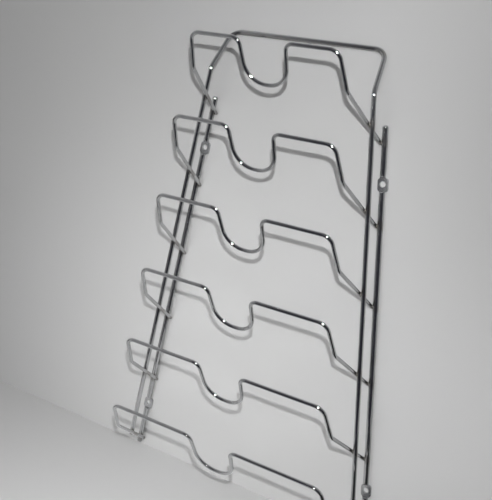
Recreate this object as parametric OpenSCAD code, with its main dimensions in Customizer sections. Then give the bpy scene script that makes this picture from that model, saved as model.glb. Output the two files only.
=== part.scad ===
// Pot lid rack welded from bright round rod, hung flat on a wall.
// +Z is up, the wall is the plane y = 0 and the rack stands out towards -Y.
// The origin is the middle between the two upper screw holes, on the wall.

/* [Rod stock] */
// Diameter of the two rear rails, which lie on the wall
rail_d = 5.8; // [4:0.1:8]
// Diameter of the front frame
frame_d = 4.8; // [3:0.1:8]
// Diameter of the six lid wires
wire_d = 3.8; // [2.5:0.1:6]
// How deep two rods are pressed into each other at a weld
weld_bite = 0.4; // [0.1:0.05:0.8]
// Rounding of the cut ends of the front frame and the lid wires
tip_r = 0.9; // [0.2:0.1:1.2]
// Rounding of the cut ends of the rear rails
rail_tip_r = 1.6; // [0.3:0.1:1.9]
// How much thinner a rod is drawn in its bends
draw_in = 0.02; // [0.01:0.005:0.1]

/* [Rear rails] */
// Distance between the two upper screw holes
upper_hole_w = 202; // [120:1:300]
// Distance between the two lower screw holes
lower_hole_w = 276; // [160:1:400]
// Height from the lower to the upper screw holes
hole_rows_h = 307; // [250:1:450]
// Length of rail above the upper screw holes
rail_above = 54; // [48:1:80]
// Length of rail below the lower screw holes
rail_below = 52; // [50:1:90]

/* [Eyelets] */
// Diameter of a screw hole
hole_d = 6; // [3:0.1:7]
// Width of the flat pressed into the rail round a screw hole
eyelet_w = 11.4; // [9:0.1:16]
// Thickness of that flat, measured from the wall
eyelet_t = 2.6; // [1.5:0.1:3.5]
// Radius of the neck between the flat and the round rail
neck_r = 6; // [2:0.5:12]
// Length of the slope from the flat up to the round rail
shoulder_l = 2; // [0.5:0.1:5]
// Length over which the back of the flat runs out at each end
run_out_l = 2.5; // [0.5:0.1:4]

/* [Front frame] */
// Depth from the rear rails to the front rails, axis to axis
frame_gap = 25; // [15:0.5:40]
// Height of the bend above the upper screw holes, where the frame leans back to the wall
bend_h = 84.5; // [70:0.5:120]
// Height of the top bar above the upper screw holes
bar_h = 121.5; // [110:0.5:180]
// Bend radius where the frame leans back
bend_r = 12; // [5:0.5:20]
// Bend radius of the two top corners
frame_corner_r = 13; // [6:0.5:25]
// Length of front rail below the axis of the lowest arm
frame_foot = 2.5; // [2.4:0.1:30]

/* [Lid wires] */
// Height of the top wire's arm ends above the upper screw holes
first_wire_h = 37.5; // [10:0.5:45]
// Height from one lid wire to the next
wire_pitch = 78; // [60:1:80]
// Reach of an arm from the rear rail to its elbow
arm_reach = 67; // [45:1:110]
// Rise of an arm from the rear rail to its elbow
arm_rise = 44.5; // [10:0.5:70]
// How far an elbow lies inside its arm's end
arm_inset = 12; // [0:0.5:20]
// Length of arm past the axis of the rear rail
arm_past = 1.5; // [0:0.1:1.6]
// Height of an upright above its elbow
upright_h = 33; // [20:0.5:60]
// How far an upright leans forward
upright_lean = 18; // [0:0.5:30]
// How far an upright leans in
upright_inset = 5; // [0:0.5:15]
// Bend radius of the elbows
elbow_r = 12; // [4:0.5:20]
// Bend radius of the outer top corners
corner_r = 10; // [4:0.5:15]

/* [Knob dip] */
// Width of the dip for a lid's knob, between its upper corners
dip_w = 48; // [30:1:70]
// Depth of the dip, along the lean of the uprights
dip_depth = 43.5; // [20:0.5:60]
// Angle by which each side of the dip slopes in
dip_splay = 4; // [1:0.5:12]
// Bend radius of the dip's upper corners
dip_corner_r = 7.5; // [3:0.5:12]
// Length of straight wire at the floor of the dip
dip_flat = 3; // [1:0.5:20]

/* [Hidden] */
$fn = 64;

left = -1;
right = 1;
wire_count = 6;
rail_r = rail_d / 2;
frame_r = frame_d / 2;
wire_r = wire_d / 2;
clear_cut = 1;
// Straight stretches keep at least this length and reach this far into each bend
straight_min = 1;
bend_lap = 0.2;

// The rails spread towards the foot by this much for each unit of height
spread = (lower_hole_w - upper_hole_w) / 2 / hole_rows_h;
rail_top_z = rail_above;
rail_foot_z = -hole_rows_h - rail_below;
rail_axis_y = -rail_r;
front_axis_y = rail_axis_y - frame_gap;

// Arms cross both pairs of rails on their inner side, one weld deep
arm_step = [-arm_inset, -arm_reach, arm_rise];
cross_tilt = abs(unit(cross([-spread, 0, 1], arm_step))[0]);
rear_side_step = (rail_r + wire_r - weld_bite) / cross_tilt;
front_side_step = (frame_r + wire_r - weld_bite) / cross_tilt;
cross_share = frame_gap / arm_reach;
cross_rise = arm_rise * cross_share;
front_foot_z = wire_z(wire_count) + cross_rise - frame_foot;

// Seen from the side the dip hangs in the plane of the uprights
lean = atan2(upright_lean, upright_h);
dip_floor_w = dip_w - 2 * dip_depth * tan(dip_splay);
dip_floor_r = (dip_floor_w - dip_flat) / 2 / tan((90 - dip_splay) / 2);

// Half length of the flat, where its necks run into the round rail
neck_z = sqrt(pow(eyelet_w / 2 + neck_r, 2) - pow(rail_r + neck_r, 2));

function unit(v) = v / norm(v);
function wire_z(row) = first_wire_h - (row - 1) * wire_pitch;
function rail_x(z) = upper_hole_w / 2 - spread * z;
function front_x(z) = rail_x(z - cross_rise) - rear_side_step - arm_inset * cross_share + front_side_step;
function on_side(point, side) = [side * point[0], point[1], point[2]];

// Rotation and place of a local frame, from its three axes and its origin
function pose(ex, ey, ez, at) = [
    [ex[0], ey[0], ez[0], at[0]],
    [ex[1], ey[1], ez[1], at[1]],
    [ex[2], ey[2], ez[2], at[2]],
    [0, 0, 0, 1]
];

// Angle by which a rod turns at corner p on its way from a to b
function turn(a, p, b) = acos(max(-1, min(1, unit(p - a) * unit(b - p))));
// Length of stretch that a bend may take, which always leaves some of the stretch straight
function bend_room(a, b) = (norm(b - a) - straight_min) / 2;
// Bend radius at corner p, limited to what the shorter stretch has room for
function bend_fit(a, p, b, r) = min(r, min(bend_room(a, p), bend_room(p, b)) / tan(turn(a, p, b) / 2));
// Length that such a bend takes from each stretch
function bend_len(a, p, b, r) = bend_fit(a, p, b, r) * tan(turn(a, p, b) / 2);

// Places its children at point a, with local Z towards point b
module along(a, b) {
    ez = unit(b - a);
    ex = unit(cross(abs(ez[0]) < 0.9 ? [1, 0, 0] : [0, 0, 1], ez));
    multmatrix(pose(ex, cross(ez, ex), ez, a)) children();
}

// Straight round bar from a to b
module bar(a, b, d) {
    along(a, b) cylinder(d = d, h = norm(b - a));
}

// Straight round bar whose cut end at point a has a rounded edge
module end_bar(a, b, d) {
    length = norm(b - a);
    r = d / 2;
    along(a, b) rotate_extrude() {
        translate([0, tip_r]) square([r, length - tip_r]);
        square([r - tip_r, length]);
        intersection() {
            translate([r - tip_r, tip_r]) circle(r = tip_r);
            square([r, length]);
        }
    }
}

// Round bar bent about corner p, between the stretches from a and to b
module elbow(a, p, b, r, d) {
    in = unit(p - a);
    out = unit(b - p);
    fit = bend_fit(a, p, b, r);
    centre = p + unit(out - in) * fit / cos(turn(a, p, b) / 2);
    ex = unit(p - in * bend_len(a, p, b, r) - centre);
    multmatrix(pose(ex, in, cross(ex, in), centre))
        rotate_extrude(angle = turn(a, p, b)) translate([fit, 0]) circle(d = d - draw_in);
}

// Bent rod through corner points, with a bend radius for each inner corner
module rod(points, radii, d) {
    last = len(points) - 1;
    trims = [
        for (i = [1:last - 1]) bend_len(points[i - 1], points[i], points[i + 1], radii[i - 1]) - bend_lap
    ];
    for (i = [1:last - 1]) {
        elbow(points[i - 1], points[i], points[i + 1], radii[i - 1], d);
    }
    for (i = [1:last - 2]) {
        way = unit(points[i + 1] - points[i]);
        bar(points[i] + way * trims[i - 1], points[i + 1] - way * trims[i], d);
    }
    end_bar(points[0], points[1] + unit(points[0] - points[1]) * trims[0], d);
    end_bar(points[last], points[last - 1] + unit(points[last] - points[last - 1]) * trims[last - 2], d);
}

// Axis points of a rear rail at height z, and of a front rail
function rail_at(z, side) = [side * rail_x(z), rail_axis_y, z];
function front_at(z, side) = [side * front_x(z), front_axis_y, z];

// Round core of a rear rail, its cut ends rounded at the edge
module rail_core(side) {
    foot = rail_at(rail_foot_z, side);
    top = rail_at(rail_top_z, side);
    length = norm(top - foot);
    along(foot, top) rotate_extrude() {
        translate([0, rail_tip_r]) square([rail_r, length - 2 * rail_tip_r]);
        square([rail_r - rail_tip_r, length]);
        intersection() {
            for (y = [rail_tip_r, length - rail_tip_r]) translate([rail_r - rail_tip_r, y]) circle(r = rail_tip_r);
            square([rail_r, length]);
        }
    }
}

// Places its children on a rear rail at height z, local Z along the rail and Y to the wall
module on_rail(z, side) {
    ez = unit([-side * spread, 0, 1]);
    ey = [0, 1, 0];
    multmatrix(pose(cross(ey, ez), ey, ez, rail_at(z, side))) children();
}

// Outline of the pressed flat: a round eye with a concave neck to the rail at each end
module eyelet_outline() {
    circle(d = eyelet_w);
    for (sx = [left, right]) {
        for (sz = [-1, 1]) {
            difference() {
                polygon([[0, 0], [sx * (rail_r + neck_r), sz * neck_z], [0, sz * neck_z]]);
                translate([sx * (rail_r + neck_r), sz * neck_z]) circle(r = neck_r);
            }
        }
    }
}

// Flat of an eyelet against the wall, its back running out at both ends
module eyelet_flat() {
    intersection() {
        translate([0, rail_r, 0]) rotate([90, 0, 0]) linear_extrude(eyelet_t) eyelet_outline();
        rotate([90, 0, 90]) translate([0, 0, -eyelet_w]) linear_extrude(2 * eyelet_w) polygon([
            [rail_r, run_out_l - neck_z],
            [rail_r, neck_z - run_out_l],
            [rail_r - eyelet_t, neck_z],
            [rail_r - eyelet_t, -neck_z]
        ]);
    }
}

// What the press takes off the front of the rail at an eyelet
module press_cut() {
    front = -rail_r - clear_cut;
    slope = shoulder_l * (rail_d + clear_cut - eyelet_t) / (rail_d - eyelet_t);
    rotate([90, 0, 90]) translate([0, 0, -rail_d]) linear_extrude(2 * rail_d) polygon([
        [rail_r - eyelet_t, -neck_z],
        [rail_r - eyelet_t, neck_z],
        [front, neck_z + slope],
        [front, -neck_z - slope]
    ]);
}

// Rear rail with two pressed eyelets
module rear_rail(side) {
    hole_rows = [0, -hole_rows_h];
    difference() {
        union() {
            difference() {
                rail_core(side);
                for (z = hole_rows) on_rail(z, side) press_cut();
            }
            for (z = hole_rows) on_rail(z, side) eyelet_flat();
        }
        for (z = hole_rows) on_rail(z, side) rotate([90, 0, 0]) cylinder(d = hole_d, h = 2 * rail_d, center = true);
    }
}

// Front frame: one rod up the right side, over the top and down the left side
module front_frame() {
    half = [
        front_at(front_foot_z, right),
        front_at(bend_h, right),
        [front_x(bar_h), -frame_r, bar_h]
    ];
    points = [for (p = half) p, for (i = [2, 1, 0]) on_side(half[i], left)];
    color("silver") rod(points, [bend_r, frame_corner_r, frame_corner_r, bend_r], frame_d);
}

// Corner points of the right half of a lid wire, from its arm's end to the floor of its dip
function wire_half(row) =
    let (weld = [rail_x(wire_z(row)) - rear_side_step, rail_axis_y, wire_z(row)])
    let (elbow_at = weld + arm_step)
    let (top = elbow_at + [-upright_inset, -upright_lean, upright_h])
    [
        weld - unit(arm_step) * arm_past,
        elbow_at,
        top,
        [dip_w / 2, top[1], top[2]],
        [dip_floor_w / 2, top[1] + dip_depth * sin(lean), top[2] - dip_depth * cos(lean)]
    ];

// Lid wire: arm, upright, top run, knob dip and the same back on the left, saddled on the rails
module lid_wire(row) {
    half = wire_half(row);
    half_radii = [elbow_r, corner_r, dip_corner_r, dip_floor_r];
    color("silver") difference() {
        rod(
            [for (p = half) p, for (i = [4:-1:0]) on_side(half[i], left)],
            [for (r = half_radii) r, for (i = [3:-1:0]) half_radii[i]],
            wire_d
        );
        for (side = [left, right]) {
            rail_core(side);
            bar(front_at(front_foot_z, side), front_at(bend_h, side), frame_d);
        }
    }
}

module rear_rail_left() {
    color("silver") rear_rail(left);
}

module rear_rail_right() {
    color("silver") rear_rail(right);
}

front_frame();
rear_rail_left();
rear_rail_right();
lid_wire(1);  // lid_wire_1
lid_wire(2);  // lid_wire_2
lid_wire(3);  // lid_wire_3
lid_wire(4);  // lid_wire_4
lid_wire(5);  // lid_wire_5
lid_wire(6);  // lid_wire_6
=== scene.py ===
"""Pot lid rack of bright plated rod.

Adds the plating, the pressed rails, the weld beads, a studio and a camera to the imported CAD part.
"""

from __future__ import annotations

import logging
import math
from dataclasses import dataclass
from enum import Enum
from typing import Any, Callable, Iterable, Sequence

import bpy
from mathutils import Matrix, Vector

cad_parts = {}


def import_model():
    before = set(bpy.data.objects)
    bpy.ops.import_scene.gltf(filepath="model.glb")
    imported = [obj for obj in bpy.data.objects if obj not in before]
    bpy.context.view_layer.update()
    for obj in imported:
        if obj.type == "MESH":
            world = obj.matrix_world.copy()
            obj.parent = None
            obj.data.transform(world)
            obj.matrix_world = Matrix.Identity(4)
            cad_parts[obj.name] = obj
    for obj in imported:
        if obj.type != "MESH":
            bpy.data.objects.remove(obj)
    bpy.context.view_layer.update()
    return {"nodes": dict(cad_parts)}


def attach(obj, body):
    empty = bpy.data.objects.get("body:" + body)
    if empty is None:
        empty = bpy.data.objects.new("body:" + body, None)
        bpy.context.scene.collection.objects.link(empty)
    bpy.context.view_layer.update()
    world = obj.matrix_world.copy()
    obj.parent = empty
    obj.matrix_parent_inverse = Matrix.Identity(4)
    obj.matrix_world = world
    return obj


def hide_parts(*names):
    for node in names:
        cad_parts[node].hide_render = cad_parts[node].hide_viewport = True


log = logging.getLogger("pot_lid_rack")

MM = 0.001

Band = tuple[float, float]
Place = tuple[float, float, float]
Colour = tuple[float, float, float, float]


class Side(Enum):
    """Left or right half of the rack, as its sign along X."""

    LEFT = -1
    RIGHT = 1


# Sizes that the rack's pieces share with the CAD part


@dataclass(frozen=True)
class RackSizes:
    """The CAD part's own sizes, in millimetres, from which the rails and welds are placed."""

    rail_d: float = 5.8
    rail_above: float = 54.0
    rail_below: float = 52.0
    hole_d: float = 6.0
    flat_t: float = 2.6
    wire_d: float = 3.8
    weld_bite: float = 0.4
    upper_hole_w: float = 202.0
    lower_hole_w: float = 276.0
    hole_rows_h: float = 307.0
    frame_gap: float = 25.0
    first_wire_h: float = 37.5
    wire_pitch: float = 78.0
    wire_count: int = 6
    arm_reach: float = 67.0
    arm_rise: float = 44.5
    arm_inset: float = 12.0

    @property
    def spread(self) -> float:
        """How far the rails spread for each unit of height."""
        return (self.lower_hole_w - self.upper_hole_w) / 2 / self.hole_rows_h

    def rail_x(self, z: float) -> float:
        """Distance of a rear rail's axis from the middle at height z."""
        return self.upper_hole_w / 2 - self.spread * z

    def wire_z(self, row: int) -> float:
        """Height of a lid wire's arm ends; row 1 is the top wire."""
        return self.first_wire_h - (row - 1) * self.wire_pitch

    @property
    def arm_way(self) -> Vector:
        """Unit direction of the right arm, from the rear rail to its elbow."""
        return Vector((-self.arm_inset, -self.arm_reach, self.arm_rise)).normalized()

    @property
    def rail_way(self) -> Vector:
        """Unit direction of the right rails, upwards."""
        return Vector((-self.spread, 0.0, 1.0)).normalized()

    @property
    def weld_way(self) -> Vector:
        """Unit direction of a right-hand weld, from the arm's axis out to the rail's axis."""
        way = self.arm_way.cross(self.rail_way).normalized()
        return way if way.x > 0 else -way

    def arm_axis(self, row: int, share: float) -> Vector:
        """A point on the right arm's axis.

        Args:
            row: Lid wire, 1 at the top.
            share: 0 at the rear rail, 1 at the elbow.

        Returns:
            The point, in millimetres.
        """
        z = self.wire_z(row)
        step = (self.rail_d / 2 + self.wire_d / 2 - self.weld_bite) / abs(self.weld_way.x)
        start = Vector((self.rail_x(z) - step, -self.rail_d / 2, z))
        return start + Vector((-self.arm_inset, -self.arm_reach, self.arm_rise)) * share


# Shader maths


class Signal:
    """One output socket of a shader node, on which Python's operators add Math nodes."""

    def __init__(self, graph: "ShaderGraph", socket: bpy.types.NodeSocket) -> None:
        """Wraps a socket of a graph's node."""
        self.graph = graph
        self.socket = socket

    def _math(self, operation: str, *values: Any) -> "Signal":
        """Adds a Math node on this signal and other values."""
        return self.graph.node("ShaderNodeMath", {"operation": operation}, dict(enumerate((self, *values))))

    def __add__(self, other: Any) -> "Signal":
        """self + other."""
        return self._math("ADD", other)

    def __radd__(self, other: Any) -> "Signal":
        """other + self."""
        return self._math("ADD", other)

    def __sub__(self, other: Any) -> "Signal":
        """self - other."""
        return self._math("SUBTRACT", other)

    def __rsub__(self, other: Any) -> "Signal":
        """other - self."""
        return self.graph.node("ShaderNodeMath", {"operation": "SUBTRACT"}, {0: other, 1: self})

    def __mul__(self, other: Any) -> "Signal":
        """self * other."""
        return self._math("MULTIPLY", other)

    def __rmul__(self, other: Any) -> "Signal":
        """other * self."""
        return self._math("MULTIPLY", other)

    def __truediv__(self, other: Any) -> "Signal":
        """self / other."""
        return self._math("DIVIDE", other)

    def __rtruediv__(self, other: Any) -> "Signal":
        """other / self."""
        return self.graph.node("ShaderNodeMath", {"operation": "DIVIDE"}, {0: other, 1: self})

    def __abs__(self) -> "Signal":
        """Absolute value."""
        return self._math("ABSOLUTE")

    def fraction(self) -> "Signal":
        """What lies past the last whole number."""
        return self._math("FRACT")

    def ramp(self, low: float, high: float, to_low: float = 0.0, to_high: float = 1.0) -> "Signal":
        """Smooth step from one pair of values to another.

        Args:
            low: Value at which the result is to_low.
            high: Value at which the result is to_high.
            to_low: Result at and before low.
            to_high: Result at and after high.

        Returns:
            The stepped signal.
        """
        settings = {"interpolation_type": "SMOOTHSTEP"}
        inputs = {"Value": self, "From Min": low, "From Max": high, "To Min": to_low, "To Max": to_high}
        return self.graph.node("ShaderNodeMapRange", settings, inputs)

    def fade(self, low: float, high: float, least: float = 0.0) -> "Signal":
        """Smooth step down, from 1 at low to the least at high."""
        return self.ramp(low, high, 1.0, least)


class ShaderGraph:
    """A node tree of a material or a world, with one method that adds any node."""

    def __init__(self, tree: bpy.types.NodeTree) -> None:
        """Takes a node tree and empties it."""
        self.tree = tree
        tree.nodes.clear()

    def add(self, kind: str, settings: dict[str, Any], inputs: dict[Any, Any]) -> bpy.types.Node:
        """Adds a node.

        Args:
            kind: The node's type name.
            settings: Its settings, set before its sockets.
            inputs: Values or signals by socket name or number.

        Returns:
            The new node.
        """
        node = self.tree.nodes.new(kind)
        for name, value in settings.items():
            setattr(node, name, value)
        for name, value in inputs.items():
            socket = node.inputs[name]
            if isinstance(value, Signal):
                self.tree.links.new(value.socket, socket)
            else:
                socket.default_value = value
        return node

    def node(self, kind: str, settings: dict[str, Any], inputs: dict[Any, Any], output: Any = 0) -> Signal:
        """Adds a node and returns one of its outputs as a signal."""
        return Signal(self, self.add(kind, settings, inputs).outputs[output])

    def axes(self, place: Signal) -> tuple[Signal, Signal, Signal]:
        """Takes a place apart into its x, y and z."""
        node = self.add("ShaderNodeSeparateXYZ", {}, {0: place})
        return Signal(self, node.outputs[0]), Signal(self, node.outputs[1]), Signal(self, node.outputs[2])

    def mix_colour(self, factor: Any, first: Any, second: Any) -> Signal:
        """Mixes two colours by a factor."""
        return self.node("ShaderNodeMix", {"data_type": "RGBA"}, {0: factor, 6: first, 7: second}, 2)

    def place(self) -> Signal:
        """Object coordinates in metres."""
        return self.node("ShaderNodeTexCoord", {}, {}, "Object")

    def stretched(self, scale: Sequence[float]) -> Signal:
        """Object coordinates, scaled along each axis."""
        return self.node("ShaderNodeMapping", {}, {"Vector": self.place(), "Scale": tuple(scale)})

    def noise(self, place: Signal, scale: float, detail: float) -> Signal:
        """Noise between 0 and 1 at a place."""
        inputs = {"Vector": place, "Scale": scale, "Detail": detail, "Roughness": 0.55}
        return self.node("ShaderNodeTexNoise", {"noise_dimensions": "3D"}, inputs, "Fac")


def grey(value: float, warmth: float = 0.0) -> Colour:
    """A grey, slightly warm or cool.

    Args:
        value: Lightness, linear.
        warmth: Added to red and taken from blue.

    Returns:
        The colour with full alpha.
    """
    return (value + warmth, value, value - warmth, 1.0)


def fresh_material(name: str) -> tuple[bpy.types.Material, ShaderGraph]:
    """Adds a material.

    Args:
        name: Its name.

    Returns:
        The material and its empty graph.
    """
    material = bpy.data.materials.new(name)
    material.use_nodes = True
    return material, ShaderGraph(material.node_tree)


# Finishes

# Values of a noise between which a mark grows from nothing to its full strength
MOTTLE_BAND = (0.3, 0.7)
SMEAR_BAND = (0.35, 0.75)
DRAW_BAND = (0.45, 0.8)
SPECK_BAND = (0.66, 0.74)
PATCH_BAND = (0.2, 0.55)


class Grain(Enum):
    """Which way the marks of the drawing die run on a rod, as marks in a metre along each axis."""

    UPRIGHT = (900.0, 900.0, 22.0)
    LEVEL = (26.0, 700.0, 700.0)


@dataclass(frozen=True)
class PlatedRod:
    """Bright chrome plating on drawn rod, duller and darker where a weld's heat went through.

    Bands are distances or places in metres between which a mark fades, and scales count the patches
    of a pattern in a metre.
    """

    name: str
    grain: Grain
    bright: float = 0.48
    dull: float = 0.42
    polish: float = 0.055
    haze: float = 0.05
    draw_marks: float = 0.01
    waviness: float = 0.02
    pressed_haze: float = 0.0
    mottle: Band = (-0.04, 0.03)
    cool: float = -0.006
    polish_spread: float = 0.2
    speck_share: float = 0.5
    speck_shade: float = 0.6
    speck_warmth: float = 0.01
    scorch_share: float = 0.75
    scorch_shade: float = 0.62
    scorch_warmth: float = 0.012
    least_scorch: float = 0.55
    wave_relief: float = 0.6
    draw_relief: float = 0.03
    scorch_relief: float = 0.3
    heat_along: Band = (0.002, 0.007)
    heat_across: Band = (0.003, 0.008)
    flat_end: Band = (0.0075, 0.0085)
    flat_face: Band = (-0.0034, -0.0028)
    cut_end: Band = (-0.0016, -0.0008)
    cloud_scale: float = 55.0
    wave_scale: float = 95.0
    smear_scale: float = 260.0
    speck_scale: float = 1900.0

    def weld_heat(self, graph: ShaderGraph, sizes: RackSizes) -> Signal:
        """How close a point lies to a weld, from 0 to 1.

        Args:
            graph: Where the nodes go.
            sizes: The rack's sizes.

        Returns:
            1 at the welds, falling to 0 some 7 mm away.
        """
        _, depth, height = graph.axes(graph.place())
        pitch = sizes.wire_pitch * MM
        # an arm rises evenly from the wall forwards, so one slope lines up both welds of a row
        rise = sizes.arm_rise / sizes.arm_reach
        row_z = (sizes.first_wire_h - sizes.rail_d / 2 * rise) * MM
        # the count of wires keeps this above 0 down to the lowest row, where the fraction would turn over
        along = ((height + depth * rise - row_z) / pitch + 0.5 + sizes.wire_count).fraction()
        to_row = abs(along - 0.5) * pitch
        from_rear = abs(depth + sizes.rail_d / 2 * MM)
        from_front = abs(depth + (sizes.rail_d / 2 + sizes.frame_gap) * MM)
        nearest = graph.node("ShaderNodeMath", {"operation": "MINIMUM"}, {0: from_rear, 1: from_front})
        return to_row.fade(*self.heat_along) * nearest.fade(*self.heat_across)

    def pressed_or_cut(self, graph: ShaderGraph, sizes: RackSizes) -> Signal:
        """Says where a rail is duller: on its pressed flats and at its cut upper end.

        Args:
            graph: Where the nodes go.
            sizes: The rack's sizes.

        Returns:
            1 on the flats and the upper end, 0 on the round rod.
        """
        _, depth, height = graph.axes(graph.place())
        half_way = sizes.hole_rows_h / 2 * MM
        to_hole = abs(abs(height + half_way) - half_way)
        flats = to_hole.fade(*self.flat_end) * depth.ramp(*self.flat_face)
        top = sizes.rail_above * MM
        return flats + height.ramp(top + self.cut_end[0], top + self.cut_end[1])

    def make(self, sizes: RackSizes) -> bpy.types.Material:
        """Builds the material.

        Args:
            sizes: The rack's sizes, for the places of the welds.

        Returns:
            The material.
        """
        material, graph = fresh_material(self.name)
        place = graph.place()
        cloud = graph.noise(place, self.cloud_scale, detail=4.0)
        smear = graph.noise(place, self.smear_scale, detail=3.0)
        draw = graph.noise(graph.stretched(self.grain.value), 1.0, detail=2.0)
        specks = graph.noise(place, self.speck_scale, detail=1.0).ramp(*SPECK_BAND)
        heat = self.weld_heat(graph, sizes) * cloud.ramp(*PATCH_BAND, self.least_scorch, 1.0)

        darker = grey(self.bright + self.mottle[0], self.cool)
        lighter = grey(self.bright + self.mottle[1], self.cool / 2)
        speck = grey(self.dull * self.speck_shade, self.speck_warmth)
        scorch = grey(self.dull * self.scorch_shade, self.scorch_warmth)
        clean = graph.mix_colour(cloud.ramp(*MOTTLE_BAND), darker, lighter)
        worn = graph.mix_colour(specks * self.speck_share, clean, speck)
        colour = graph.mix_colour(heat * self.scorch_share, worn, scorch)

        smoothest = self.polish * (1 - self.polish_spread)
        roughest = self.polish * (1 + self.polish_spread)
        roughness = (
            smear.ramp(*SMEAR_BAND, smoothest, roughest)
            + draw.ramp(*DRAW_BAND, 0.0, self.draw_marks)
            + heat * self.haze
            + specks * self.haze
        )
        if self.pressed_haze > 0:
            roughness = roughness + self.pressed_or_cut(graph, sizes) * self.pressed_haze
        waves = graph.noise(place, self.wave_scale, detail=1.0)
        relief = waves * self.wave_relief + draw * self.draw_relief + heat * smear * self.scorch_relief
        hollows = {"Strength": self.waviness, "Distance": MM, "Height": relief}
        bump = graph.node("ShaderNodeBump", {}, hollows)
        inputs = {"Base Color": colour, "Metallic": 1.0, "Roughness": roughness, "Normal": bump}
        shader = graph.node("ShaderNodeBsdfPrincipled", {}, inputs)
        graph.add("ShaderNodeOutputMaterial", {}, {"Surface": shader})
        return material


@dataclass(frozen=True)
class PaintedWall:
    """Pale paint for the wall and the floor, seen only from the rack's side, with painted light and shade.

    Bands are places along an axis, in metres, between which the shade changes.
    """

    name: str = "pale_wall_paint"
    shade: float = 0.452
    unevenness: float = 0.015
    painted_light_low: float = 0.01
    painted_shade_right: float = 0.148
    painted_light_right_share: float = 0.5
    far_share: float = 0.3
    patch_scale: float = 3.0
    matt: float = 0.75
    painted_light_height: Band = (-0.42, -0.06)
    painted_light_side: Band = (0.0, 0.35)
    painted_shade_height: Band = (-0.25, 0.1)
    painted_shade_side: Band = (0.05, 0.3)
    far_depth: Band = (-1.0, -0.45)

    def make(self) -> bpy.types.Material:
        """Builds the material, lighter low down by painted light, dimmer at the upper right by painted
        shade, and dark far out.

        Returns:
            The material.
        """
        material, graph = fresh_material(self.name)
        place = graph.place()
        patch = graph.noise(place, self.patch_scale, detail=2.0)
        side, depth, height = graph.axes(place)
        # painted light: low marks where the paint is made lighter, standing in for more light falling low
        # down
        low = height.fade(*self.painted_light_height) * side.fade(*self.painted_light_side, self.painted_light_right_share)
        # painted shade: the paint is made dimmer at the upper right, standing in for less light falling
        # there
        painted_shade_mask = height.ramp(*self.painted_shade_height) * side.ramp(*self.painted_shade_side)
        darker = grey(self.shade * (1 - self.unevenness))
        lighter = grey(self.shade * (1 + self.unevenness))
        even = graph.mix_colour(patch.ramp(*MOTTLE_BAND), darker, lighter)
        with_painted_shade = graph.mix_colour(painted_shade_mask, even, grey(self.shade - self.painted_shade_right))
        near = graph.mix_colour(low, with_painted_shade, grey(self.shade + self.painted_light_low))
        # the fill lamps hang near the floor out there, and pale paint would burn out under them
        far = depth.fade(*self.far_depth)
        colour = graph.mix_colour(far, near, grey(self.shade * self.far_share))
        inputs = {"Base Color": colour, "Roughness": self.matt, "Specular IOR Level": 0.0}
        paint = graph.node("ShaderNodeBsdfPrincipled", {}, inputs)
        clear = graph.node("ShaderNodeBsdfTransparent", {}, {})
        behind = graph.node("ShaderNodeNewGeometry", {}, {}, "Backfacing")
        shader = graph.node("ShaderNodeMixShader", {}, {0: behind, 1: paint, 2: clear})
        graph.add("ShaderNodeOutputMaterial", {}, {"Surface": shader})
        return material


@dataclass(frozen=True)
class TentCloth:
    """Cloth that glows by itself, so that plating has something dark and uneven to mirror.

    Bands are places along an axis, in metres, between which the colour changes.
    """

    name: str = "tent_cloth"
    below: Colour = (0.04, 0.0395, 0.05, 1.0)
    above: Colour = (0.19, 0.19, 0.2, 1.0)
    left: Colour = (0.38, 0.38, 0.386, 1.0)
    high_left_share: float = 0.3
    cloud_scale: float = 2.0
    clouds: float = 0.3
    rise: Band = (0.1, 0.9)
    left_side: Band = (-0.24, -0.2)
    left_depth: Band = (-0.8, -0.2)
    left_height: Band = (0.1, 0.6)

    def make(self) -> bpy.types.Material:
        """Builds the material.

        Returns:
            A material that is dark low down, grey above, and pale at the left near the wall.
        """
        material, graph = fresh_material(self.name)
        place = graph.place()
        side, depth, height = graph.axes(place)
        clouds = (graph.noise(place, self.cloud_scale, detail=2.0) - 0.5) * self.clouds
        at_left = side.fade(*self.left_side) * depth.ramp(*self.left_depth)
        at_left = at_left * height.fade(*self.left_height, self.high_left_share)
        cloth = graph.mix_colour(height.ramp(*self.rise) + clouds, self.below, self.above)
        colour = graph.mix_colour(at_left, cloth, self.left)
        glow = graph.node("ShaderNodeEmission", {}, {"Color": colour, "Strength": 1.0})
        graph.add("ShaderNodeOutputMaterial", {}, {"Surface": glow})
        return material


# Helpers for modelling by operators

# A picked face's normal has at least this share along the axis that it is picked by
SQUARE_ON = 0.9
# Picked points lie closer together than this, in millimetres
SAME_PLACE = 0.01
# Smoothing angle in degrees of flat-sided things, which smooths none of their edges
FLAT_SIDED = 1.0


def select_only(objects: Iterable[bpy.types.Object]) -> None:
    """Deselects everything, then selects the given objects and makes the first one active.

    Args:
        objects: The objects.
    """
    bpy.ops.object.select_all(action="DESELECT")
    chosen = list(objects)
    for thing in chosen:
        thing.select_set(True)
    bpy.context.view_layer.objects.active = chosen[0]


def settle(piece: bpy.types.Object, smooth_angle: float = 60.0) -> None:
    """Applies a piece's place, which leaves its object at the origin, and shades it smooth.

    Args:
        piece: The finished piece.
        smooth_angle: Edges flatter than this, in degrees, are shaded smooth.
    """
    select_only([piece])
    bpy.ops.object.transform_apply(location=True, rotation=True, scale=True)
    bpy.ops.object.shade_smooth_by_angle(angle=math.radians(smooth_angle))


def edit_faces(piece: bpy.types.Object, wanted: Callable[[bpy.types.MeshPolygon], bool]) -> None:
    """Enters edit mode with only some of a piece's faces selected.

    Args:
        piece: The piece.
        wanted: Says of a face whether it is to be selected.
    """
    select_only([piece])
    bpy.ops.object.mode_set(mode="EDIT")
    bpy.ops.mesh.select_mode(type="FACE")
    bpy.ops.mesh.select_all(action="DESELECT")
    bpy.ops.object.mode_set(mode="OBJECT")
    for face in piece.data.polygons:
        face.select = wanted(face)
    bpy.ops.object.mode_set(mode="EDIT")


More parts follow.
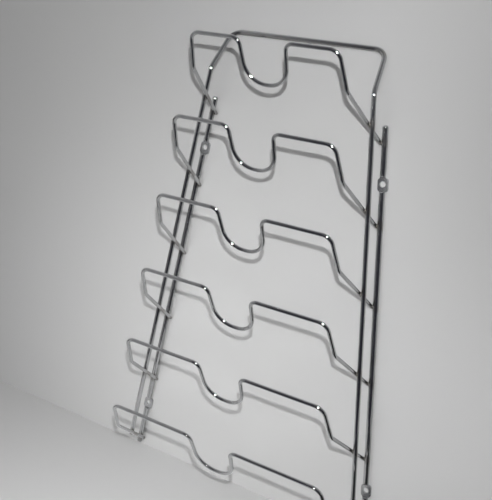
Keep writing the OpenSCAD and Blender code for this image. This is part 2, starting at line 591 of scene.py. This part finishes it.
def edit_edges(piece: bpy.types.Object, wanted: Callable[[Vector, Vector], bool]) -> None:
    """Enters edit mode with only some of a piece's edges selected.

    Args:
        piece: The piece.
        wanted: Says from an edge's two ends whether it is to be selected.
    """
    select_only([piece])
    bpy.ops.object.mode_set(mode="EDIT")
    bpy.ops.mesh.select_mode(type="EDGE")
    bpy.ops.mesh.select_all(action="DESELECT")
    bpy.ops.object.mode_set(mode="OBJECT")
    points = piece.data.vertices
    for edge in piece.data.edges:
        start, end = (points[i].co for i in edge.vertices)
        edge.select = wanted(start, end)
    bpy.ops.object.mode_set(mode="EDIT")


def fresh_piece(name: str) -> bpy.types.Object:
    """Names the primitive that was just added and puts its object at the origin.

    Args:
        name: The new name.

    Returns:
        The primitive.
    """
    piece = bpy.context.active_object
    piece.name = name
    bpy.ops.object.transform_apply(location=True, rotation=True, scale=True)
    return piece


def combine(piece: bpy.types.Object, tool: bpy.types.Object, operation: str) -> None:
    """Joins a tool to a piece or cuts it out of the piece, and removes the tool.

    Args:
        piece: The piece.
        tool: The tool.
        operation: UNION or DIFFERENCE.
    """
    select_only([piece])
    modifier = piece.modifiers.new("press", "BOOLEAN")
    modifier.operation = operation
    modifier.solver = "EXACT"
    modifier.object = tool
    bpy.ops.object.modifier_apply(modifier=modifier.name)
    bpy.data.objects.remove(tool)


def copy_of(piece: bpy.types.Object, name: str) -> bpy.types.Object:
    """Copies a piece together with its mesh.

    Args:
        piece: The piece.
        name: The copy's name.

    Returns:
        The copy.
    """
    copy = bpy.data.objects.new(name, piece.data.copy())
    bpy.context.scene.collection.objects.link(copy)
    return copy


def dress(thing: bpy.types.Object, material: bpy.types.Material) -> None:
    """Gives an object one material on all its slots.

    Args:
        thing: The object.
        material: The material.
    """
    if not thing.material_slots:
        thing.data.materials.append(material)
    for slot in thing.material_slots:
        slot.material = material


def show_in_plating_only(thing: bpy.types.Object) -> None:
    """Hides an object from everything but the reflections in the plating."""
    thing.visible_camera = thing.visible_diffuse = False
    thing.visible_shadow = thing.visible_transmission = False


# Sub-assemblies


@dataclass
class PressedRails:
    """The two rear rails, with a flat pressed for each screw and the soft edges that the press leaves.

    All sizes are in millimetres.
    """

    sizes: RackSizes
    end_round: float = 1.6
    flat_w: float = 10.6
    flat_h: float = 13.2
    flat_drop: float = 0.7
    corner_r: float = 3.2
    rim_r: float = 0.3
    shoulder_l: float = 1.0
    shoulder_r: float = 0.9
    shoulder_inset: float = 0.4
    shoulder_drop: float = 0.6
    flare_h: float = 1.6
    flare_l: float = 3.0
    plain_from: float = 11.0
    ring_inset: float = 0.5
    overlap: float = 0.02
    wall_gap: float = 0.05
    rod_sides: int = 72
    hole_sides: int = 48
    corner_steps: int = 10
    edge_steps: int = 7
    rim_steps: int = 5
    smooth_angle: float = 32.0

    @property
    def face_y(self) -> float:
        """Depth of a flat's face from the rail's axis, towards the wall."""
        return self.sizes.rail_d / 2 - self.sizes.flat_t

    def model_rod(self, foot: float, top: float, hole_rows: Sequence[float]) -> bpy.types.Object:
        """Models the round rod along Z, its cut ends rounded.

        Args:
            foot: Height of its lower end.
            top: Height of its upper end.
            hole_rows: Heights of the screw holes.

        Returns:
            The rod, with rings of edges where the plain stretches begin, which keep their shading even.
        """
        bpy.ops.object.select_all(action="DESELECT")
        middle = (0, 0, (top + foot) / 2)
        bpy.ops.mesh.primitive_cylinder_add(
            vertices=self.rod_sides, radius=self.sizes.rail_d / 2, depth=top - foot, location=middle
        )
        rod = fresh_piece("rail_rod")
        edit_faces(rod, lambda face: abs(face.normal.z) > SQUARE_ON)
        bpy.ops.mesh.bevel(offset=self.end_round, segments=self.edge_steps, affect="EDGES")
        inside = self.end_round + self.ring_inset
        rings = [foot + inside, top - inside]
        rings += [z + way * self.plain_from for z in hole_rows for way in (-1, 1)]
        for height in rings:
            bpy.ops.mesh.select_all(action="SELECT")
            bpy.ops.mesh.bisect(plane_co=(0, 0, height), plane_no=(0, 0, 1))
        bpy.ops.object.mode_set(mode="OBJECT")
        return rod

    def model_press(self) -> bpy.types.Object:
        """Models what the press takes away in front of a flat at the origin.

        Returns:
            A trough with steep, rounded shoulders that flare out towards the front.
        """
        face_y, front_y = self.face_y + self.overlap, self.shoulder_drop - self.sizes.rail_d / 2
        half = self.flat_h / 2 - self.shoulder_inset
        bpy.ops.object.select_all(action="DESELECT")
        bpy.ops.mesh.primitive_cube_add(
            size=1.0,
            location=(0, (face_y + front_y) / 2, 0),
            scale=(3 * self.sizes.rail_d, face_y - front_y, 2 * half),
        )
        press = fresh_piece("press")
        edit_faces(press, lambda face: face.normal.y < -SQUARE_ON)
        steep = half + self.shoulder_l
        bpy.ops.transform.resize(value=(1.0, 1.0, steep / half))
        bpy.ops.mesh.extrude_region_move(TRANSFORM_OT_translate={"value": (0, -self.flare_h, 0)})
        bpy.ops.transform.resize(value=(1.0, 1.0, (steep + self.flare_l) / steep))
        bpy.ops.object.mode_set(mode="OBJECT")
        edit_edges(press, lambda start, end: abs(start.y - front_y) + abs(end.y - front_y) < SAME_PLACE)
        bpy.ops.mesh.bevel(offset=self.shoulder_r, segments=self.edge_steps, affect="EDGES")
        bpy.ops.object.mode_set(mode="OBJECT")
        return press

    def model_flat(self) -> bpy.types.Object:
        """Models a pressed flat round a hole at the origin, still without the hole.

        Returns:
            A plate with rounded corners and a soft front rim.
        """
        back_y = self.sizes.rail_d / 2 - self.wall_gap
        bpy.ops.object.select_all(action="DESELECT")
        bpy.ops.mesh.primitive_cube_add(
            size=1.0,
            location=(0, (self.face_y + back_y) / 2, -self.flat_drop),
            scale=(self.flat_w, back_y - self.face_y, self.flat_h),
        )
        flat = fresh_piece("screw_flat")
        edit_edges(flat, lambda start, end: abs(start.x - end.x) + abs(start.z - end.z) < SAME_PLACE)
        bpy.ops.mesh.bevel(offset=self.corner_r, segments=self.corner_steps, affect="EDGES")
        bpy.ops.object.mode_set(mode="OBJECT")
        edit_faces(flat, lambda face: face.normal.y < -SQUARE_ON)
        bpy.ops.mesh.bevel(offset=self.rim_r, segments=self.rim_steps, affect="EDGES")
        bpy.ops.object.mode_set(mode="OBJECT")
        return flat

    def model_drill(self) -> bpy.types.Object:
        """Models what a screw hole takes away at the origin.

        Returns:
            A pin along Y.
        """
        sizes = self.sizes
        along_y = (math.pi / 2, 0, 0)
        bpy.ops.object.select_all(action="DESELECT")
        bpy.ops.mesh.primitive_cylinder_add(
            vertices=self.hole_sides, radius=sizes.hole_d / 2, depth=3 * sizes.rail_d, rotation=along_y
        )
        return fresh_piece("drill")

    def place_for(self, side: Side) -> Matrix:
        """Place and turn of a rail.

        Args:
            side: Left or right.

        Returns:
            A matrix from the rail's own millimetres to the rack's metres.
        """
        sizes = self.sizes
        along = Vector((-side.value * sizes.spread, 0.0, 1.0)).normalized()
        inwards = Vector((0.0, 1.0, 0.0))
        turn = Matrix((inwards.cross(along), inwards, along)).transposed().to_4x4()
        start = Vector((side.value * sizes.rail_x(0.0), -sizes.rail_d / 2, 0.0))
        return Matrix.Scale(MM, 4) @ Matrix.Translation(start) @ turn

    def build(self, material: bpy.types.Material) -> None:
        """Builds both rails and lets them stand for the plain ones.

        Args:
            material: The rails' finish.
        """
        sizes = self.sizes
        stretch = 1.0 / sizes.rail_way.z
        hole_rows = (0.0, -sizes.hole_rows_h * stretch)
        foot = -(sizes.hole_rows_h + sizes.rail_below) * stretch
        rail = self.model_rod(foot, sizes.rail_above * stretch, hole_rows)
        steps = (
            ("DIFFERENCE", self.model_press),
            ("UNION", self.model_flat),
            ("DIFFERENCE", self.model_drill),
        )
        for operation, model in steps:
            pattern = model()
            for height in hole_rows:
                tool = copy_of(pattern, f"{pattern.name}_{operation}")
                tool.data.transform(Matrix.Translation((0, 0, height)))
                combine(rail, tool, operation)
            bpy.data.objects.remove(pattern)
        for side in Side:
            name = f"rear_rail_{side.name.lower()}"
            piece = copy_of(rail, f"pressed_{name}")
            piece.data.transform(self.place_for(side))
            settle(piece, self.smooth_angle)
            dress(piece, material)
            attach(piece, "root")
            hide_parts(name)
            log.info("%s: %d faces", piece.name, len(piece.data.polygons))
        bpy.data.objects.remove(rail)


@dataclass
class WeldBeads:
    """The small lens of squeezed-out metal at each crossing of an arm and a rail, in millimetres."""

    sizes: RackSizes
    radius: float = 2.5
    squeeze: float = 0.86
    half_thickness: float = 0.95
    lump_size: float = 1.6
    lump_height: float = 0.35
    sides: int = 28
    rings: int = 14

    def model_bead(self) -> bpy.types.Object:
        """Models one bead at the origin, lying in the XY plane.

        Returns:
            A flattened, slightly lumpy lens, in millimetres.
        """
        bpy.ops.object.select_all(action="DESELECT")
        bpy.ops.mesh.primitive_uv_sphere_add(
            segments=self.sides, ring_count=self.rings, radius=1.0, location=(0, 0, 0)
        )
        bead = bpy.context.active_object
        bpy.ops.object.mode_set(mode="EDIT")
        bpy.ops.mesh.select_all(action="SELECT")
        bpy.ops.transform.resize(value=(self.radius, self.radius * self.squeeze, self.half_thickness))
        bpy.ops.object.mode_set(mode="OBJECT")
        lumps = bpy.data.textures.new("bead_lumps", "CLOUDS")
        lumps.noise_scale = self.lump_size
        modifier = bead.modifiers.new("lumps", "DISPLACE")
        modifier.texture = lumps
        modifier.texture_coords = "LOCAL"
        modifier.strength = self.lump_height
        modifier.mid_level = 0.5
        bpy.ops.object.modifier_apply(modifier=modifier.name)
        return bead

    def place_for(self, row: int, share: float, side: Side) -> Matrix:
        """Place and turn of one bead, in metres.

        Args:
            row: Lid wire, 1 at the top.
            share: Place along the arm, 0 at the rear rail, 1 at the elbow.
            side: Left or right.

        Returns:
            A matrix from the bead's millimetres to the rack's metres.
        """
        sizes = self.sizes
        across = sizes.weld_way
        along = (sizes.arm_way + sizes.rail_way).normalized()
        third = across.cross(along)
        centre = sizes.arm_axis(row, share) + across * (sizes.wire_d / 2 - sizes.weld_bite / 2)
        turn = Matrix((along, third, across)).transposed().to_4x4()
        place = Matrix.Translation(centre) @ turn
        if side is Side.LEFT:
            flip = Matrix.Scale(-1.0, 4, Vector((1, 0, 0)))
            place = flip @ place @ Matrix.Scale(-1.0, 4, Vector((0, 1, 0)))
        return Matrix.Scale(MM, 4) @ place

    def build(self, material: bpy.types.Material) -> None:
        """Builds the four beads of each lid wire as one piece.

        Args:
            material: The beads' finish.
        """
        pattern = self.model_bead()
        crossings = (0.0, self.sizes.frame_gap / self.sizes.arm_reach)
        for row in range(1, self.sizes.wire_count + 1):
            copies = []
            for share in crossings:
                for side in Side:
                    bead = copy_of(pattern, f"weld_{row}")
                    bead.data.transform(self.place_for(row, share, side))
                    copies.append(bead)
            select_only(copies)
            bpy.ops.object.join()
            piece = bpy.context.active_object
            piece.name = f"weld_beads_{row}"
            settle(piece)
            dress(piece, material)
            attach(piece, "root")
            log.info("weld beads of lid wire %d: %d faces", row, len(piece.data.polygons))
        bpy.data.objects.remove(pattern)


@dataclass
class RackFinish:
    """Dresses the CAD part's own rods in their plating."""

    sizes: RackSizes
    nodes: dict[str, bpy.types.Object]

    def dress_rods(self) -> dict[str, bpy.types.Material]:
        """Gives each rod its finish.

        Returns:
            The materials by kind of rod.
        """
        upright, level = Grain.UPRIGHT, Grain.LEVEL
        finishes = {
            "rear_rail": PlatedRod("rail_plating", upright, bright=0.47, haze=0.06, pressed_haze=0.19),
            "front_frame": PlatedRod("frame_plating", upright),
            "lid_wire": PlatedRod("wire_plating", level),
        }
        plating = {kind: finish.make(self.sizes) for kind, finish in finishes.items()}
        for name, node in self.nodes.items():
            kind = next(kind for kind in plating if name.startswith(kind))
            dress(node, plating[kind])
            log.info("%s wears %s", name, plating[kind].name)
        return plating


@dataclass(frozen=True)
class FloorCard:
    """A card lying just above the floor, which only the plating sees.

    Its corners are in metres, and it glows by its strength, where 1 is white.
    """

    name: str
    low: tuple[float, float]
    high: tuple[float, float]
    glow: float
    lift: float = 0.004

    def build(self, floor_z: float) -> None:
        """Lays the card.

        Args:
            floor_z: Height of the floor.
        """
        height = floor_z + self.lift
        low, high = Vector((*self.low, height)), Vector((*self.high, height))
        bpy.ops.object.select_all(action="DESELECT")
        bpy.ops.mesh.primitive_plane_add(size=1.0, location=(low + high) / 2)
        card = bpy.context.active_object
        card.name = self.name
        bpy.ops.transform.resize(value=(high.x - low.x, high.y - low.y, 1.0))
        settle(card, FLAT_SIDED)
        show_in_plating_only(card)
        material, graph = fresh_material(f"{self.name}_glow")
        glow = graph.node("ShaderNodeEmission", {}, {"Color": grey(1.0), "Strength": self.glow})
        graph.add("ShaderNodeOutputMaterial", {}, {"Surface": glow})
        dress(card, material)


@dataclass
class Studio:
    """A pale wall and floor, a pale room, lamps, and the dark tent that bright plating mirrors.

    Sizes and places are in metres, lamps in watts, and the room's light is by its strength, where 1
    is white. The room's bands are shares of a direction along an axis.
    """

    wall_y: float = 0.0004
    floor_z: float = -0.3625
    reach: float = 3.0
    lamp_aim: Place = (-0.42, 0.0, -0.34)
    key_rise: float = 0.095
    key_shift: float = 0.011
    key_size: float = 0.012
    key_watts: float = 5.3
    glint_size: float = 0.1
    glint_watts: float = 24.0
    fill_place: Place = (0.1, -1.3, 0.27)
    fill_size: float = 1.1
    fill_watts: float = 4.0
    low_fill_place: Place = (-0.08, -0.5, -0.14)
    low_fill_aim: Place = (-0.08, 0.0, -0.28)
    low_fill_size: float = 0.26
    low_fill_watts: float = 0.3
    low_fill_spread: float = 85.0
    tent_low: Place = (-0.25, -1.7, -0.35)
    tent_high: Place = (2.6, -0.2, 1.3)
    pale: float = 0.6
    soft_all: float = 0.03
    soft_above: float = 0.2
    soft_left: float = 0.12
    soft_back: float = 0.5
    above_band: Band = (0.25, 0.8)
    left_band: Band = (0.5, 0.95)
    back_band: Band = (-0.1, 0.5)

    def add_plane(self, name: str, centre: Vector, turn: Place) -> bpy.types.Object:
        """Adds one large square of wall or floor.

        Args:
            name: Its name.
            centre: Its middle.
            turn: Its rotation; unturned, it faces upwards.

        Returns:
            The plane.
        """
        bpy.ops.object.select_all(action="DESELECT")
        bpy.ops.mesh.primitive_plane_add(size=2 * self.reach, location=centre, rotation=turn)
        plane = bpy.context.active_object
        plane.name = name
        settle(plane)
        return plane

    def build_planes(self, wall_paint: bpy.types.Material, floor_paint: bpy.types.Material) -> None:
        """Builds the wall and the floor.

        Args:
            wall_paint: The wall's finish.
            floor_paint: The floor's finish.
        """
        wall = self.add_plane("studio_wall", Vector((0, self.wall_y, 0)), (math.pi / 2, 0, 0))
        floor_middle = Vector((0, self.wall_y - self.reach, self.floor_z))
        floor = self.add_plane("studio_floor", floor_middle, (0, 0, 0))
        dress(wall, wall_paint)
        dress(floor, floor_paint)

    def build_tent(self) -> None:
        """Builds the tent that only the plating sees, a box before the wall and open towards it."""
        low, high = Vector(self.tent_low), Vector(self.tent_high)
        bpy.ops.object.select_all(action="DESELECT")
        bpy.ops.mesh.primitive_cube_add(size=1.0, location=(low + high) / 2, scale=high - low)
        tent = bpy.context.active_object
        tent.name = "studio_tent"
        edit_faces(tent, lambda face: face.normal.y > SQUARE_ON)
        bpy.ops.mesh.delete(type="FACE")
        bpy.ops.object.mode_set(mode="OBJECT")
        settle(tent, FLAT_SIDED)
        show_in_plating_only(tent)
        dress(tent, TentCloth().make())

    def build_room(self) -> None:
        """Makes the world a pale background, which the plating shows too, and a soft light."""
        world = bpy.data.worlds.new("soft_room")
        bpy.context.scene.world = world
        world.use_nodes = True
        graph = ShaderGraph(world.node_tree)
        way = graph.node("ShaderNodeTexCoord", {}, {}, "Generated")
        side, back, up = graph.axes(way)
        soft = up.ramp(*self.above_band) * self.soft_above
        soft = soft + (0.0 - side).ramp(*self.left_band) * self.soft_left
        soft = soft + back.ramp(*self.back_band) * self.soft_back + self.soft_all
        path = graph.add("ShaderNodeLightPath", {}, {})
        rays = ("Is Camera Ray", "Is Glossy Ray", "Is Transmission Ray")
        camera, glossy, through = (Signal(graph, path.outputs[name]) for name in rays)
        seen = camera + glossy + through
        level = soft + (self.pale - soft) * seen
        background = graph.node("ShaderNodeBackground", {}, {"Color": grey(1.0), "Strength": level})
        graph.add("ShaderNodeOutputWorld", {}, {"Surface": background})

    def add_lamp(self, name: str, place: Vector, aim: Vector, size: float, watts: float) -> bpy.types.Object:
        """Adds a round lamp.

        Args:
            name: Its name.
            place: Where it hangs.
            aim: The point that it faces.
            size: Its diameter.
            watts: Its power.

        Returns:
            The lamp.
        """
        data = bpy.data.lights.new(name, "AREA")
        data.shape = "DISK"
        data.size = size
        data.energy = watts
        lamp = bpy.data.objects.new(name, data)
        bpy.context.scene.collection.objects.link(lamp)
        lamp.location = place
        lamp.rotation_mode = "QUATERNION"
        lamp.rotation_quaternion = (aim - place).to_track_quat("-Z", "Y")
        return lamp

    def build_lamps(self, camera: "PhotoCamera") -> None:
        """Adds the key lamp above the lens, its wider glint in the plating, and two soft fill lamps.

        Args:
            camera: The camera, above which the key lamp hangs.
        """
        offset = Vector(camera.up) * self.key_rise + Vector(camera.right) * self.key_shift
        place, aim = Vector(camera.place) + offset, Vector(self.lamp_aim)
        key = self.add_lamp("key_lamp", place, aim, self.key_size, self.key_watts)
        key.visible_glossy = False
        glint = self.add_lamp("glint_lamp", place, aim, self.glint_size, self.glint_watts)
        glint.visible_diffuse = False
        fill = self.add_lamp("fill_lamp", Vector(self.fill_place), aim, self.fill_size, self.fill_watts)
        fill.visible_glossy = False
        place, aim = Vector(self.low_fill_place), Vector(self.low_fill_aim)
        low_fill = self.add_lamp("low_fill_lamp", place, aim, self.low_fill_size, self.low_fill_watts)
        low_fill.data.spread = math.radians(self.low_fill_spread)
        low_fill.visible_glossy = low_fill.visible_camera = False


@dataclass
class PhotoCamera:
    """The camera where the photograph was taken, for a frame of 492 by 500.

    Its place is in metres, and its lens and sensor are in millimetres.
    """

    place: Place = (0.35972, -0.71260, 0.10759)
    right: Place = (0.85342, 0.50503, 0.12893)
    up: Place = (-0.2283, 0.13982, 0.9635)
    lens: float = 57.62
    sensor: float = 36.0
    shift_x: float = -0.0091
    shift_y: float = -0.0148

    def build(self) -> None:
        """Makes the scene's camera."""
        data = bpy.data.cameras.new("photo_camera")
        data.lens = self.lens
        data.sensor_width = self.sensor
        data.sensor_fit = "AUTO"
        data.shift_x, data.shift_y = self.shift_x, self.shift_y
        data.clip_start, data.clip_end = 0.01, 50.0
        camera = bpy.data.objects.new("photo_camera", data)
        bpy.context.scene.collection.objects.link(camera)
        right = Vector(self.right).normalized()
        back = right.cross(Vector(self.up)).normalized()
        up = back.cross(right)
        turn = Matrix((right, up, back)).transposed().to_4x4()
        camera.matrix_world = Matrix.Translation(self.place) @ turn
        bpy.context.scene.camera = camera


def main() -> None:
    """Builds the camera, the finishes, the pressed rails, the weld beads and the studio."""
    logging.basicConfig(level=logging.INFO, format="%(name)s: %(message)s")
    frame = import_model()
    bpy.context.scene.view_settings.view_transform = "Standard"
    sizes = RackSizes()
    camera = PhotoCamera()
    camera.build()
    plating = RackFinish(sizes, frame["nodes"]).dress_rods()
    PressedRails(sizes).build(plating["rear_rail"])
    scorched = PlatedRod("bead_plating", Grain.LEVEL, bright=0.15, dull=0.12, polish=0.45, haze=0.1)
    WeldBeads(sizes).build(scorched.make(sizes))
    studio = Studio()
    studio.build_planes(PaintedWall().make(), PaintedWall("pale_floor_paint", shade=0.53).make())
    studio.build_tent()
    for card in (
        FloorCard("bright_card", low=(-0.26, -0.33), high=(0.06, -0.01), glow=0.68),
        FloorCard("dark_card", low=(0.11, -0.21), high=(0.5, -0.005), glow=0.05),
    ):
        card.build(studio.floor_z)
    studio.build_room()
    studio.build_lamps(camera)


if __name__ == "__main__":
    main()
